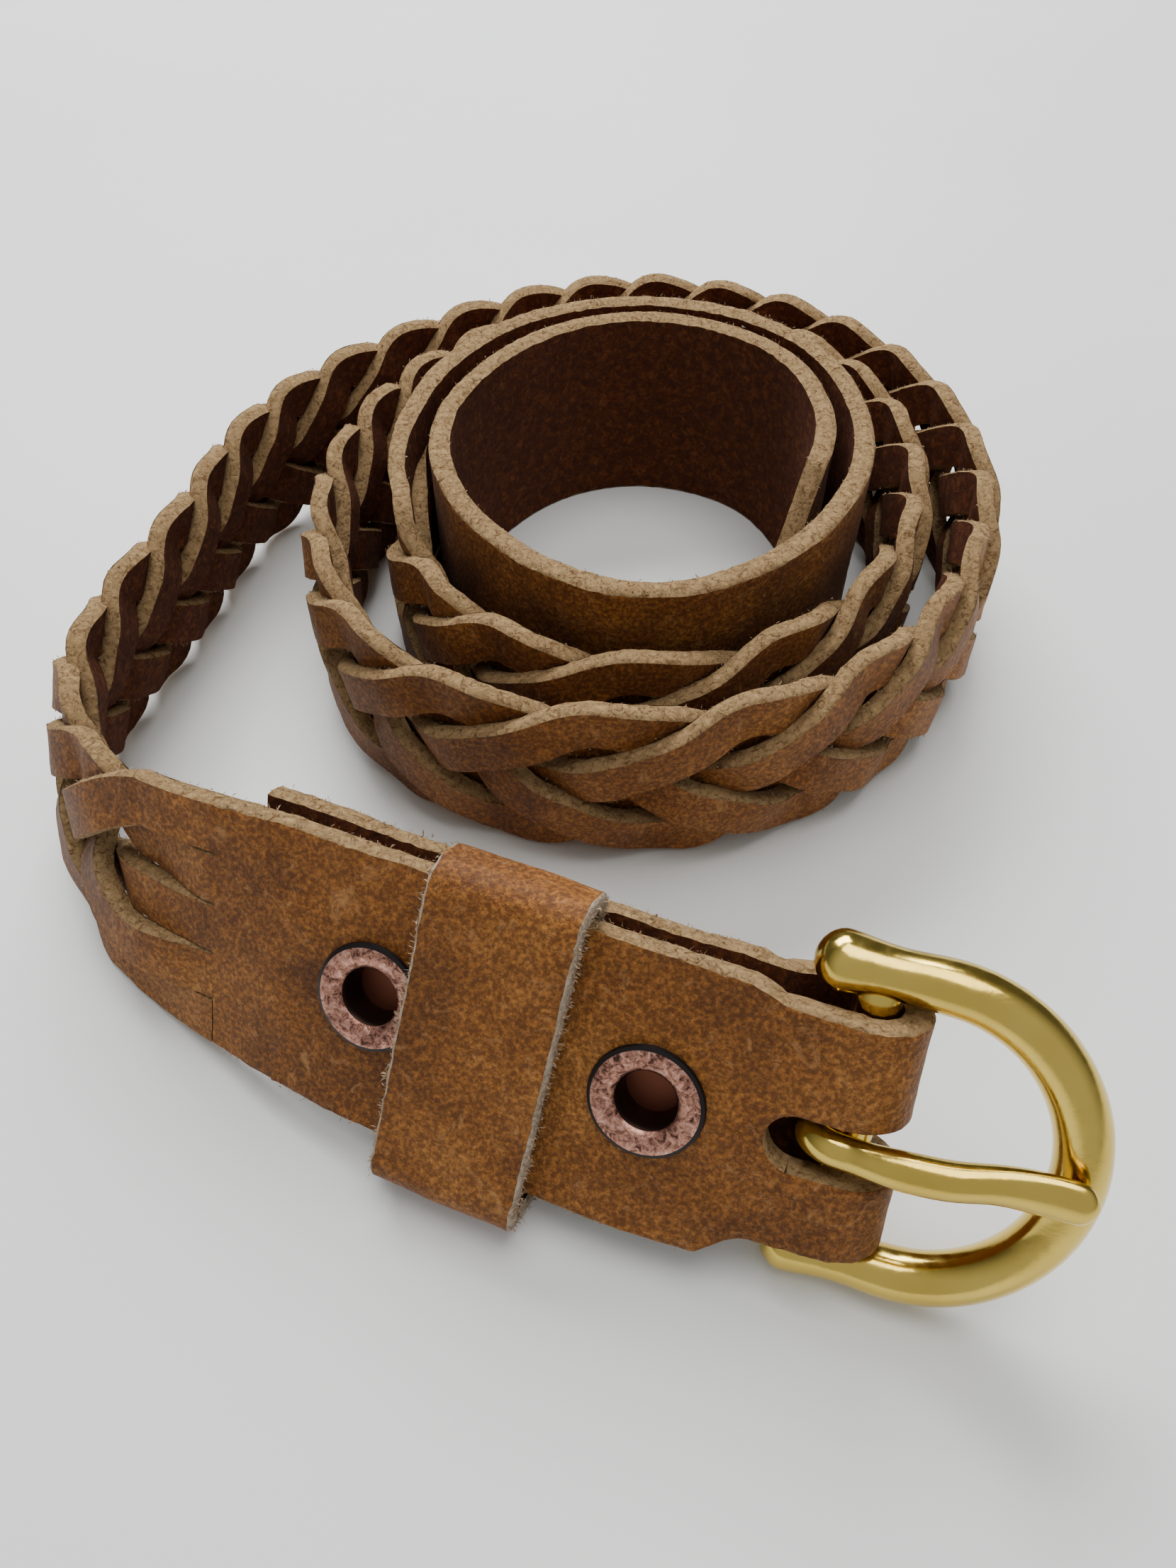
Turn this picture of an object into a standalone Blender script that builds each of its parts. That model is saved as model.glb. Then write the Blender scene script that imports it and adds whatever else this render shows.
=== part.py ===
"""A braided leather belt, coiled on its edge, with its buckle end lying in front.

The strap is one leather blank slit into five strands between two solid ends. It is modelled as
the tip, the five strands and the buckle end, so that each can be named and textured alone.
Units are metres; the driving dimensions below are in millimetres. +Z is up.
"""

import math

import bmesh
import bpy
import numpy as np
from mathutils import Matrix, Vector

MM = 0.001

STRAP_WIDTH = 38.1
STRAP_THICKNESS = 3.4
STRAND_COUNT = 5
STRAND_WIDTH = 6.9
STRAND_THICKNESS = 2.05
JOIN_GAP = 0.3

# The braid: a strand's centre swings this far from the middle, and returns after one cycle.
BRAID_SWING = 14.2
BRAID_CYCLE = 70.0
BRAID_STEPS_PER_CYCLE = 24
# Height of a strand through the braid, as sines of 2, 4, 6 and 8 times its cycle.
BRAID_HEIGHTS = (-2.78, 0.92, 0.06, 0.40)
BRAID_LEAD = 14.0
TURN_ROUNDING = 0.15
# Where the coil pulls the braid long: the turn in degrees and the reach along the strap.
STRETCHED_AT = ((640.0, 45.0), (985.0, 60.0))
STRETCH = 0.42

# The coil: centre in plan, and the strap's mid-thickness radius at each eighth of a turn,
# counted outward from the tip.
COIL_CENTRE = (7.5, 171.0)
COIL_START_DEG = -45.0
COIL_STEP_DEG = 45.0
COIL_RADII = (
    31.5, 32.8, 37.0, 36.6, 33.0, 32.5, 34.0, 39.2, 38.0, 39.3, 43.0, 42.3, 39.8, 38.8,
    44.0, 48.0, 47.5, 49.5, 52.5, 51.5, 49.5, 52.0, 59.0, 59.0, 59.5, 61.5, 63.0, 62.0,
)
COIL_LEAN_FROM_TURN = 2.5
COIL_LEAN_DEG = 6.0

# The free run from the coil to the buckle: plan position, height of the middle, lean inward.
FREE_RUN = (
    (-35.0, 215.6, 16.9, 6.0),
    (-53.0, 200.8, 16.9, 9.0),
    (-65.0, 182.2, 16.9, 10.0),
    (-71.0, 160.0, 16.9, 10.0),
    (-77.5, 140.0, 16.9, 10.0),
    (-79.5, 120.0, 16.9, 12.0),
    (-73.0, 104.0, 16.9, 17.0),
    (-62.5, 92.3, 17.8, 23.0),
    (-49.0, 84.6, 19.4, 28.0),
    (-39.0, 79.4, 20.8, 33.0),
    (-27.0, 73.9, 21.1, 36.0),
    (-13.0, 68.1, 21.2, 36.5),
    (0.0, 62.9, 21.2, 36.5),
    (9.0, 59.4, 21.3, 36.0),
    (20.0, 55.5, 21.8, 33.5),
    (30.0, 52.0, 22.6, 30.8),
    (40.0, 48.5, 23.6, 29.5),
)
BRAID_START_DEG = 528.0
BRAID_END_X = -50.0

# The buckle end: where the bar lies along the strap, and the flap folded behind it.
SNAP_1_X = 7.6
SNAP_SPACING = 37.5
BAR_X = 29.8
BAR_RADIUS = 3.0
BAR_CLEARANCE = 0.3
FLAP_LENGTH = 84.0
FLAP_CUT_FROM = 38.0
FLAP_CORNER_CUT = 2.6
LAYER_GAP = 3.4
SLOT_WIDTH = 8.0
SLOT_FROM_BAR = 9.2
FOLD_LOW = 15.1
FOLD_HIGH = 17.6

KEEPER_WIDTH = 20.0
KEEPER_THICKNESS = 2.4
KEEPER_FROM_SNAP = -21.7
KEEPER_DROP = 2.0
KEEPER_CLEARANCE = 0.4
KEEPER_FRONT_CLEARANCE = 1.7

BUCKLE_HALF_WIDTH = 20.3
BUCKLE_ASIDE = 1.4
BUCKLE_STRAIGHT = 7.6
BUCKLE_REACH = 26.0
KNOB_TAIL = 7.2
BUCKLE_WIRE_RADIUS = 3.3
KNOB_RADIUS = 3.0
TONGUE_RADIUS = 2.1
TONGUE_EYE_RADIUS = 1.9

SNAP_FLANGE_RADIUS = 7.4
SNAP_HOLE_RADIUS = 4.0


def clear_scene():
    for obj in list(bpy.data.objects):
        bpy.data.objects.remove(obj)


def collection(name):
    made = bpy.data.collections.new(name)
    bpy.context.scene.collection.children.link(made)
    return made


def material(name, colour, roughness, metallic=0.0):
    made = bpy.data.materials.new(name)
    made.use_nodes = True
    shader = made.node_tree.nodes["Principled BSDF"]
    shader.inputs["Base Color"].default_value = (*colour, 1.0)
    shader.inputs["Roughness"].default_value = roughness
    shader.inputs["Metallic"].default_value = metallic
    made.diffuse_color = (*colour, 1.0)
    return made


def add_object(name, data, into, look):
    obj = bpy.data.objects.new(name, data)
    into.objects.link(obj)
    if look is not None:
        data.materials.append(look)
    return obj


def cubic_through(knots, values, at):
    """Natural cubic spline through the values, evaluated at the given places."""
    knots = np.asarray(knots, float)
    values = np.asarray(values, float)
    gaps = np.diff(knots)
    count = len(knots)
    system = np.eye(count)
    right = np.zeros((count, values.shape[1]))
    slopes = np.diff(values, axis=0) / gaps[:, None]
    for i in range(1, count - 1):
        system[i, i - 1] = gaps[i - 1]
        system[i, i] = 2.0 * (gaps[i - 1] + gaps[i])
        system[i, i + 1] = gaps[i]
        right[i] = 6.0 * (slopes[i] - slopes[i - 1])
    bends = np.linalg.solve(system, right)
    i = np.clip(np.searchsorted(knots, at) - 1, 0, count - 2)
    ahead = (knots[i + 1] - at)[:, None]
    behind = (at - knots[i])[:, None]
    gap = gaps[i][:, None]
    cubic = (bends[i] * ahead**3 + bends[i + 1] * behind**3) / (6.0 * gap)
    line = (values[i] / gap - bends[i] * gap / 6.0) * ahead
    return cubic + line + (values[i + 1] / gap - bends[i + 1] * gap / 6.0) * behind


def unit(rows):
    return rows / np.linalg.norm(rows, axis=-1, keepdims=True)


class Route:
    """The middle line of the strap, with its forward, width and outward directions."""

    def __init__(self):
        stations = []
        for i, radius in enumerate(COIL_RADII):
            degrees = COIL_START_DEG + COIL_STEP_DEG * i
            turn = math.radians(degrees)
            lean = COIL_LEAN_DEG * min(1.0, max(0.0, degrees / 360.0 - COIL_LEAN_FROM_TURN))
            solid = degrees < BRAID_START_DEG + COIL_STEP_DEG / 2.0
            stations.append(
                (
                    COIL_CENTRE[0] + radius * math.cos(turn),
                    COIL_CENTRE[1] + radius * math.sin(turn),
                    STRAP_WIDTH / 2.0 if solid else 16.9,
                    lean,
                )
            )
        stations.extend(FREE_RUN)
        stations = np.array(stations)
        steps = np.linalg.norm(np.diff(stations[:, :2], axis=0), axis=1)
        knots = np.concatenate([[0.0], np.cumsum(steps)])
        fine = np.linspace(0.0, knots[-1], 4001)
        line = cubic_through(knots, stations, fine)
        for k in (2, 3):
            line[:, k] = np.interp(fine, knots, stations[:, k])
        length = np.linalg.norm(np.diff(line[:, :3], axis=0), axis=1)
        self.along = np.concatenate([[0.0], np.cumsum(length)])
        self.points = line[:, :3]
        forward = unit(np.gradient(self.points, self.along, axis=0))
        up = np.array([0.0, 0.0, 1.0]) - forward * forward[:, 2:3]
        up = unit(up)
        inward = np.cross(up, forward)
        lean = np.radians(line[:, 3:4])
        self.width = unit(up * np.cos(lean) + inward * np.sin(lean))
        self.out = np.cross(forward, self.width)
        self.forward = forward

    def at(self, s):
        """Point, forward, width and outward directions at distance s, or beyond the end."""
        s = np.atleast_1d(np.asarray(s, float))
        columns = []
        for rows in (self.points, self.forward, self.width, self.out):
            columns.append(
                np.stack([np.interp(s, self.along, rows[:, k]) for k in range(3)], axis=1)
            )
        point, forward, width, out = columns
        return point, unit(forward), unit(width), unit(out)

    def place(self, s, across, height):
        """The points at distance s, this far across the strap and out from its middle."""
        point, _, width, out = self.at(s)
        across = np.broadcast_to(across, point.shape[:1])
        height = np.broadcast_to(height, point.shape[:1])
        return point + width * across[:, None] + out * height[:, None]

    def s_at_turn(self, degrees):
        """Distance along the strap at this angle round the coil."""
        seen = self.points[:, :2] - np.array(COIL_CENTRE)
        turned = np.unwrap(np.arctan2(seen[:, 1], seen[:, 0]))
        return float(np.interp(math.radians(degrees), turned[:2900], self.along[:2900]))

    def s_at_x(self, x):
        """Distance along the strap where the buckle end passes this x."""
        leftmost = int(np.argmin(self.points[:, 0]))
        return float(np.interp(x, self.points[leftmost:, 0], self.along[leftmost:]))


def sheet(name, rows, thickness, into, look):
    """A leather sheet from rows of points, thickened evenly to both sides by Solidify."""
    mesh = bmesh.new()
    grid = [[mesh.verts.new(Vector(p) * MM) for p in row] for row in rows]
    for near, far in zip(grid[:-1], grid[1:]):
        for j in range(len(near) - 1):
            mesh.faces.new((near[j], far[j], far[j + 1], near[j + 1]))
    data = bpy.data.meshes.new(name)
    mesh.to_mesh(data)
    mesh.free()
    obj = add_object(name, data, into, look)
    thick = obj.modifiers.new("Leather thickness", "SOLIDIFY")
    thick.thickness = thickness * MM
    thick.offset = 0.0
    return obj


def triangle_wave(u):
    """Rises from -1 at 0 to 1 at a half and falls back, with the corners rounded."""
    plain = 1.0 - 4.0 * np.abs((u % 1.0) - 0.5)
    short = 1.0 - np.abs(plain)
    turned = 1.0 - TURN_ROUNDING - short**2 / (4.0 * TURN_ROUNDING)
    return np.sign(plain) * np.where(short < 2.0 * TURN_ROUNDING, turned, np.abs(plain))


def braid_phase(route, s, start, end):
    """The braid's progress: still at both ends, slower where the coil has pulled it long."""
    along = np.linspace(start, end, 4001)
    inside = np.minimum(along - start, end - along)
    speed = np.clip((inside - BRAID_LEAD) / 12.0, 0.0, 1.0)
    for degrees, reach in STRETCHED_AT:
        middle = route.s_at_turn(degrees)
        speed = speed * (1.0 - STRETCH * np.exp(-(((along - middle) / reach) ** 2)))
    progress = np.cumsum(speed) * (along[1] - along[0])
    cycles = round(progress[-1] / BRAID_CYCLE * 10.0) / 10.0
    return 0.05 + cycles * np.interp(s, along, progress) / progress[-1]


def strand_rows(route, k, start, end):
    """Rows of two points for strand k of the braid, from the tip side to the buckle side."""
    count = int((end - start) / BRAID_CYCLE * BRAID_STEPS_PER_CYCLE)
    s = np.linspace(start, end, count)
    u = braid_phase(route, s, start, end) + k / STRAND_COUNT
    opened = np.clip(np.minimum(s - start, end - s) / BRAID_LEAD, 0.0, 1.0)
    opened = opened * opened * (3.0 - 2.0 * opened)
    swing_in = np.clip((np.minimum(s - start, end - s) - BRAID_LEAD) / 16.0, 0.0, 1.0)
    flat = 2.5 * STRAP_WIDTH / STRAND_COUNT
    swing = flat + (BRAID_SWING - flat) * swing_in
    plain = 1.0 - 4.0 * np.abs((u % 1.0) - 0.5)
    wave = plain + (triangle_wave(u) - plain) * swing_in
    across = swing * wave
    height = sum(a * np.sin(4.0 * math.pi * (m + 1) * u) for m, a in enumerate(BRAID_HEIGHTS))
    height = height * opened
    slope = np.gradient(across, s)
    tilt = np.sqrt(1.0 + slope**2)
    half = STRAND_WIDTH / 2.0
    low = route.place(s + half * slope / tilt, across - half / tilt, height)
    high = route.place(s - half * slope / tilt, across + half / tilt, height)
    return list(zip(low, high))


def tip_rows(route, end):
    """The solid tip, cut to a point."""
    rows = []
    shape = ((0.0, -9.0, -3.0), (4.0, -13.0, 4.0), (9.0, -16.5, 11.0), (16.0, -19.05, 19.05))
    for s, low, high in shape:
        rows.append((route.place(s, low, 0.0)[0], route.place(s, high, 0.0)[0]))
    for s in np.linspace(16.0, end, int((end - 16.0) / 4.5))[1:]:
        half = STRAP_WIDTH / 2.0
        rows.append((route.place(s, -half, 0.0)[0], route.place(s, half, 0.0)[0]))
    return rows


def flap_height(distance):
    """How far the flap's middle lies behind the front layer's, this far back from the bar."""
    wide = 2.0 * (BAR_RADIUS + BAR_CLEARANCE) + STRAP_THICKNESS
    close = LAYER_GAP + STRAP_THICKNESS
    x = min(1.0, max(0.0, (distance - 7.5) / 6.5))
    return -(wide + (close - wide) * x * x * (3.0 - 2.0 * x))


def strap_edges(distance):
    """The buckle end's two edges this far from the bar: its corners narrow into the fold."""
    half = STRAP_WIDTH / 2.0
    x = min(1.0, max(0.0, (15.0 - distance) / 6.0))
    blend = x * x * (3.0 - 2.0 * x)
    return -half + (half - FOLD_LOW) * blend, half + (FOLD_HIGH - half) * blend


def buckle_end_rows(route, start, bar_s):
    """The front layer, the fold round the bar and the flap behind, as rows of two points."""
    rows = []
    near = bar_s - np.array([14.2, 12.5, 11.0, 9.5, 7.5, 3.8, 0.0])
    for s in np.concatenate([np.linspace(start, bar_s - 15.5, 20), near]):
        low, high = strap_edges(bar_s - s)
        rows.append((route.place(s, low, 0.0)[0], route.place(s, high, 0.0)[0]))
    centre, forward, width, out = (v[0] for v in route.at(bar_s))
    radius = BAR_RADIUS + BAR_CLEARANCE + STRAP_THICKNESS / 2.0
    bar = centre - out * radius
    low, high = strap_edges(0.0)
    for step in range(1, 10):
        turn = math.pi * step / 10.0
        middle = bar + out * radius * math.cos(turn) + forward * radius * math.sin(turn)
        rows.append((middle + width * low, middle + width * high))
    far = bar_s - np.linspace(15.5, FLAP_LENGTH, 18)
    for s in np.concatenate([near[::-1], far]):
        height = flap_height(bar_s - s)
        low, high = strap_edges(bar_s - s)
        low += FLAP_CORNER_CUT * max(0.0, (bar_s - s - FLAP_CUT_FROM) / (FLAP_LENGTH - FLAP_CUT_FROM))
        rows.append((route.place(s, low, height)[0], route.place(s, high, height)[0]))
    return rows


def frame_matrix(point, forward, width, out):
    """World matrix of a frame with X forward, Y along the width and Z outward, in metres."""
    made = Matrix.Identity(4)
    for k, axis in enumerate((forward, width, out)):
        for row in range(3):
            made[row][k] = float(axis[row])
    for row in range(3):
        made[row][3] = float(point[row]) * MM
    return made


def lathe(name, profile, matrix, into, look, steps=28):
    """A turned piece: the profile of (radius, height) swept round the frame's Z."""
    mesh = bmesh.new()
    made = [mesh.verts.new((r * MM, 0.0, z * MM)) for r, z in profile]
    for near, far in zip(made, made[1:] + made[:1]):
        mesh.edges.new((near, far))
    data = bpy.data.meshes.new(name)
    mesh.to_mesh(data)
    mesh.free()
    obj = add_object(name, data, into, look)
    turn = obj.modifiers.new("Turned", "SCREW")
    turn.axis = "Z"
    turn.steps = steps
    turn.render_steps = steps
    turn.use_merge_vertices = True
    turn.merge_threshold = 0.00001
    turn.use_normal_calculate = True
    obj.matrix_world = matrix
    return obj


def rod(name, points, radii, matrix, into, look, resolution=5, steps=4):
    """A round rod along the points, with its own radius at each, and closed ends."""
    curve = bpy.data.curves.new(name, "CURVE")
    curve.dimensions = "3D"
    curve.bevel_depth = MM
    curve.bevel_resolution = resolution
    curve.resolution_u = steps
    curve.use_fill_caps = True
    spline = curve.splines.new("NURBS")
    spline.points.add(len(points) - 1)
    for point, co, radius in zip(spline.points, points, radii):
        point.co = (co[0] * MM, co[1] * MM, co[2] * MM, 1.0)
        point.radius = radius
    spline.order_u = 4
    spline.use_endpoint_u = True
    obj = add_object(name, curve, into, look)
    obj.matrix_world = matrix
    return obj


def cut(obj, cutter, label):
    made = obj.modifiers.new(label, "BOOLEAN")
    made.operation = "DIFFERENCE"
    made.solver = "EXACT"
    made.object = cutter


def cutter_mesh(name, builder, matrix, into):
    mesh = bmesh.new()
    builder(mesh)
    bmesh.ops.recalc_face_normals(mesh, faces=mesh.faces)
    data = bpy.data.meshes.new(name)
    mesh.to_mesh(data)
    mesh.free()
    obj = add_object(name, data, into, None)
    obj.matrix_world = matrix
    obj.hide_render = True
    obj.display_type = "WIRE"
    return obj


def add_drum(mesh, x, radius, low, high, steps=24):
    """A cylinder along Z at the given x, in millimetres."""
    made = bmesh.ops.create_cone(
        mesh,
        cap_ends=True,
        segments=steps,
        radius1=radius * MM,
        radius2=radius * MM,
        depth=(high - low) * MM,
    )
    for vert in made["verts"]:
        vert.co.x += x * MM
        vert.co.z += (high + low) / 2.0 * MM


def build_straps(route, into, cutters, looks):
    start = route.s_at_turn(BRAID_START_DEG)
    end = route.s_at_x(BRAID_END_X)
    sheet("tip_strap", tip_rows(route, start - JOIN_GAP), STRAP_THICKNESS, into, looks["tip"])
    for k in range(STRAND_COUNT):
        rows = strand_rows(route, k, start, end)
        sheet(f"strand_{k + 1}", rows, STRAND_THICKNESS, into, looks["strand"][k])
    bar_s = route.s_at_x(BAR_X)
    rows = buckle_end_rows(route, end + JOIN_GAP, bar_s)
    strap = sheet("buckle_end_strap", rows, STRAP_THICKNESS, into, looks["buckle_end"])
    point, forward, width, out = (v[0] for v in route.at(bar_s))
    radius = BAR_RADIUS + BAR_CLEARANCE + STRAP_THICKNESS / 2.0
    bar_matrix = frame_matrix(point - out * radius, forward, width, out)

    def slot(mesh):
        radius = SLOT_WIDTH / 2.0
        outline = [(12.0, -radius), (12.0, radius)]
        for step in range(13):
            turn = math.pi * (0.5 + step / 12.0)
            end_x = -(SLOT_FROM_BAR - radius)
            outline.append((end_x + radius * math.cos(turn), radius * math.sin(turn)))
        lower = [mesh.verts.new((x * MM, y * MM, -12.0 * MM)) for x, y in outline]
        face = mesh.faces.new(lower)
        made = bmesh.ops.extrude_face_region(mesh, geom=[face])
        for item in made["geom"]:
            if isinstance(item, bmesh.types.BMVert):
                item.co.z = 12.0 * MM

    cut(strap, cutter_mesh("slot_cutter", slot, bar_matrix, cutters), "Tongue slot")
    return strap, bar_s, bar_matrix


def build_snap(route, number, s, strap, into, cutters, look):
    """The four pieces of one snap, from the front: eyelet, stud, socket and cap."""
    point, forward, width, out = (v[0] for v in route.at(s))
    matrix = frame_matrix(point, forward, width, out)
    face = STRAP_THICKNESS / 2.0
    flange = SNAP_FLANGE_RADIUS
    bore = SNAP_HOLE_RADIUS
    eyelet = (
        (bore - 0.45, -face - 0.1),
        (bore, -face - 0.1),
        (bore, face + 0.35),
        (flange - 0.2, face + 0.35),
        (flange, face + 0.6),
        (flange - 0.5, face + 1.05),
        (flange - 1.6, face + 1.35),
        (bore + 0.4, face + 1.1),
        (bore - 0.45, face + 0.6),
    )
    lathe(f"snap_eyelet_{number}", eyelet, matrix, into, look)
    back = -face
    stud = (
        (0.0, back - 0.35),
        (5.2, back - 0.4),
        (5.5, back - 0.6),
        (5.2, back - 0.85),
        (3.1, back - 0.95),
        (3.0, back - 1.8),
        (3.2, back - 2.1),
        (2.9, back - 2.5),
        (0.0, back - 2.6),
    )
    lathe(f"snap_stud_{number}", stud, matrix, into, look)
    flap = back - LAYER_GAP
    socket = (
        (3.6, back - 1.2),
        (4.6, back - 1.15),
        (5.3, back - 1.4),
        (5.5, back - 2.2),
        (5.2, flap + 0.4),
        (2.2, flap + 0.3),
        (2.2, flap + 0.55),
        (3.6, flap + 0.6),
    )
    lathe(f"snap_socket_{number}", socket, matrix, into, look)
    behind = flap - STRAP_THICKNESS
    cap = (
        (0.0, flap + 0.1),
        (1.8, flap + 0.1),
        (1.8, behind - 0.35),
        (6.8, behind - 0.4),
        (7.1, behind - 0.6),
        (6.6, behind - 1.2),
        (4.0, behind - 1.7),
        (0.0, behind - 1.9),
    )
    lathe(f"snap_cap_{number}", cap, matrix, into, look)

    def front_hole(mesh):
        add_drum(mesh, 0.0, bore + 0.3, -face - 1.6, face + 1.6)

    def flap_hole(mesh):
        add_drum(mesh, 0.0, 2.1, behind - 1.5, flap + 1.5)

    cut(strap, cutter_mesh(f"eyelet_hole_{number}", front_hole, matrix, cutters), "Eyelet hole")
    cut(strap, cutter_mesh(f"cap_hole_{number}", flap_hole, matrix, cutters), "Cap hole")


def build_keeper(route, s, into, look):
    """The keeper loop round the front layer, as a band closed on itself."""
    point, forward, width, out = (v[0] for v in route.at(s))
    matrix = frame_matrix(point, forward, width, out)
    face = STRAP_THICKNESS / 2.0
    half = KEEPER_THICKNESS / 2.0
    front = face + KEEPER_FRONT_CLEARANCE + half
    back = -face - KEEPER_CLEARANCE - half
    top = STRAP_WIDTH / 2.0 + 0.8 + half
    low = -STRAP_WIDTH / 2.0 - KEEPER_DROP - half
    corner = 1.6
    ring = []
    corners = ((top, front, 0.0), (top, back, 1.0), (low, back, 2.0), (low, front, 3.0))
    signs = ((-1.0, -1.0), (-1.0, 1.0), (1.0, 1.0), (1.0, -1.0))
    for (y, z, turn), (sy, sz) in zip(corners, signs):
        cy = y + sy * corner
        cz = z + sz * corner
        for step in range(4):
            angle = math.radians(90.0 - 90.0 * turn - 30.0 * step)
            ring.append((cy + corner * math.cos(angle), cz + corner * math.sin(angle)))
    mesh = bmesh.new()
    loops = []
    for x in (-KEEPER_WIDTH / 2.0, KEEPER_WIDTH / 2.0):
        loops.append([mesh.verts.new((x * MM, y * MM, z * MM)) for y, z in ring])
    for j in range(len(ring)):
        n = (j + 1) % len(ring)
        mesh.faces.new((loops[0][j], loops[1][j], loops[1][n], loops[0][n]))
    data = bpy.data.meshes.new("keeper_loop")
    mesh.to_mesh(data)
    mesh.free()
    obj = add_object("keeper_loop", data, into, look)
    thick = obj.modifiers.new("Leather thickness", "SOLIDIFY")
    thick.thickness = KEEPER_THICKNESS * MM
    thick.offset = 0.0
    thick.use_even_offset = True
    obj.matrix_world = matrix
    return obj


def build_buckle(bar_matrix, into, looks):
    """The frame with its bar, and the tongue wrapped round the bar."""
    half = BUCKLE_HALF_WIDTH
    straight = BUCKLE_STRAIGHT
    tail = -KNOB_TAIL
    side = [(tail, half), (tail + 0.4, half), (tail + 2.2, half), (tail + 6.0, half), (0.5, half)]
    for step in range(8):
        turn = math.radians(90.0 - 12.0 * step)
        reach = (BUCKLE_REACH - straight) * math.cos(turn)
        side.append((straight + reach, half * math.sin(turn)))
    knob = KNOB_RADIUS
    radii = [knob - 1.5, knob - 0.3, knob, knob, BUCKLE_WIRE_RADIUS]
    radii += [BUCKLE_WIRE_RADIUS] * (len(side) - len(radii))
    mirrored = [(x, -y) for x, y in reversed(side)]
    flat_path = side + [(BUCKLE_REACH, 0.0)] + mirrored
    path = [(x, y + BUCKLE_ASIDE, 0.0) for x, y in flat_path]
    all_radii = radii + [BUCKLE_WIRE_RADIUS] + radii[::-1]
    ring = rod("buckle_frame", path, all_radii, bar_matrix, into, looks["frame"], 4, 3)
    return ring


def bar_and_ring(bar_matrix, into, cutters, looks):
    """Joins the bar to the ring, so that the frame is one solid casting."""
    ring = build_buckle(bar_matrix, into, looks)
    graph = bpy.context.evaluated_depsgraph_get()
    solid = bpy.data.meshes.new_from_object(ring.evaluated_get(graph))
    bpy.data.objects.remove(ring)
    frame = add_object("buckle_frame", solid, into, None)
    frame.matrix_world = bar_matrix

    def bar(mesh):
        made = bmesh.ops.create_cone(
            mesh,
            cap_ends=True,
            segments=20,
            radius1=BAR_RADIUS * MM,
            radius2=BAR_RADIUS * MM,
            depth=2.0 * (BUCKLE_HALF_WIDTH - 0.5) * MM,
        )
        for vert in made["verts"]:
            y = vert.co.z
            vert.co.z = vert.co.y
            vert.co.y = y + BUCKLE_ASIDE * MM

    rod_obj = cutter_mesh("bar_core", bar, bar_matrix, cutters)
    join = frame.modifiers.new("Bar", "BOOLEAN")
    join.operation = "UNION"
    join.solver = "EXACT"
    join.object = rod_obj
    return frame


def build_tongue(bar_matrix, into, look):
    """A brass rod wrapped round the bar, running out to rest on the ring."""
    eye = TONGUE_EYE_RADIUS
    r = BAR_RADIUS + BAR_CLEARANCE + 0.1 + eye
    points = []
    radii = []
    for degrees in range(-60, -300, -24):
        angle = math.radians(degrees)
        points.append((r * math.cos(angle), 0.0, r * math.sin(angle)))
        radii.append(eye)
    rest = BUCKLE_WIRE_RADIUS + BAR_CLEARANCE + 1.6
    shank = (
        (2.5, r + 0.4, 1.9),
        (6.0, r + 0.9, TONGUE_RADIUS),
        (9.0, r + 0.9, TONGUE_RADIUS),
        (12.0, r + 0.8, TONGUE_RADIUS),
        (16.0, rest + 0.3, 2.0),
        (20.0, rest, 1.9),
        (24.0, rest, 1.6),
        (26.5, rest, 1.5),
        (27.5, rest, 1.3),
    )
    for x, z, radius in shank:
        points.append((x, 0.0, z))
        radii.append(radius)
    return rod("buckle_tongue", points, radii, bar_matrix, into, look, 4, 3)


def stand_on_origin(pieces, helpers):
    """Moves everything so that the belt stands on Z = 0 with its box centred on the origin."""
    bpy.context.view_layer.update()
    graph = bpy.context.evaluated_depsgraph_get()
    corners = []
    for obj in pieces:
        shown = obj.evaluated_get(graph)
        mesh = shown.to_mesh()
        corners.extend(shown.matrix_world @ vert.co for vert in mesh.vertices)
        shown.to_mesh_clear()
    corners = np.array(corners)
    low = corners.min(axis=0)
    high = corners.max(axis=0)
    shift = Vector((-(low[0] + high[0]) / 2.0, -(low[1] + high[1]) / 2.0, -low[2]))
    for obj in pieces + helpers:
        obj.location = obj.location + shift


def main():
    clear_scene()
    belt = collection("braided_leather_belt")
    cutters = collection("cutters")
    tan = (0.42, 0.19, 0.075)
    looks = {
        "tip": material("tip_leather", tan, 0.75),
        "strand": [
            material(f"strand_{k + 1}_leather", tan, 0.75) for k in range(STRAND_COUNT)
        ],
        "buckle_end": material("buckle_end_leather", tan, 0.75),
        "keeper": material("keeper_leather", tan, 0.75),
        "frame": material("buckle_brass", (0.75, 0.60, 0.22), 0.22, 1.0),
        "tongue": material("tongue_brass", (0.75, 0.60, 0.22), 0.22, 1.0),
    }
    route = Route()
    strap, bar_s, bar_matrix = build_straps(route, belt, cutters, looks)
    snap_1 = route.s_at_x(SNAP_1_X)
    for number, s in ((1, snap_1), (2, snap_1 - SNAP_SPACING)):
        copper = material(f"snap_{number}_copper", (0.48, 0.24, 0.15), 0.4, 1.0)
        build_snap(route, number, s, strap, belt, cutters, copper)
    build_keeper(route, snap_1 + KEEPER_FROM_SNAP, belt, looks["keeper"])
    frame = bar_and_ring(bar_matrix, belt, cutters, looks)
    frame.data.materials.clear()
    frame.data.materials.append(looks["frame"])
    build_tongue(bar_matrix, belt, looks["tongue"])
    stand_on_origin(list(belt.objects), list(cutters.objects))


main()
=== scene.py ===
"""Looks for the braided leather belt: leather with cut edges, brass and antiqued copper.

The route of the strap is worked out again here from the same driving dimensions as the CAD,
so that every shown piece lies on its CAD node. Lengths are in millimetres until a mesh is made.
"""

import math

import bpy
import numpy as np
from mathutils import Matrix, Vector, noise


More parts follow.
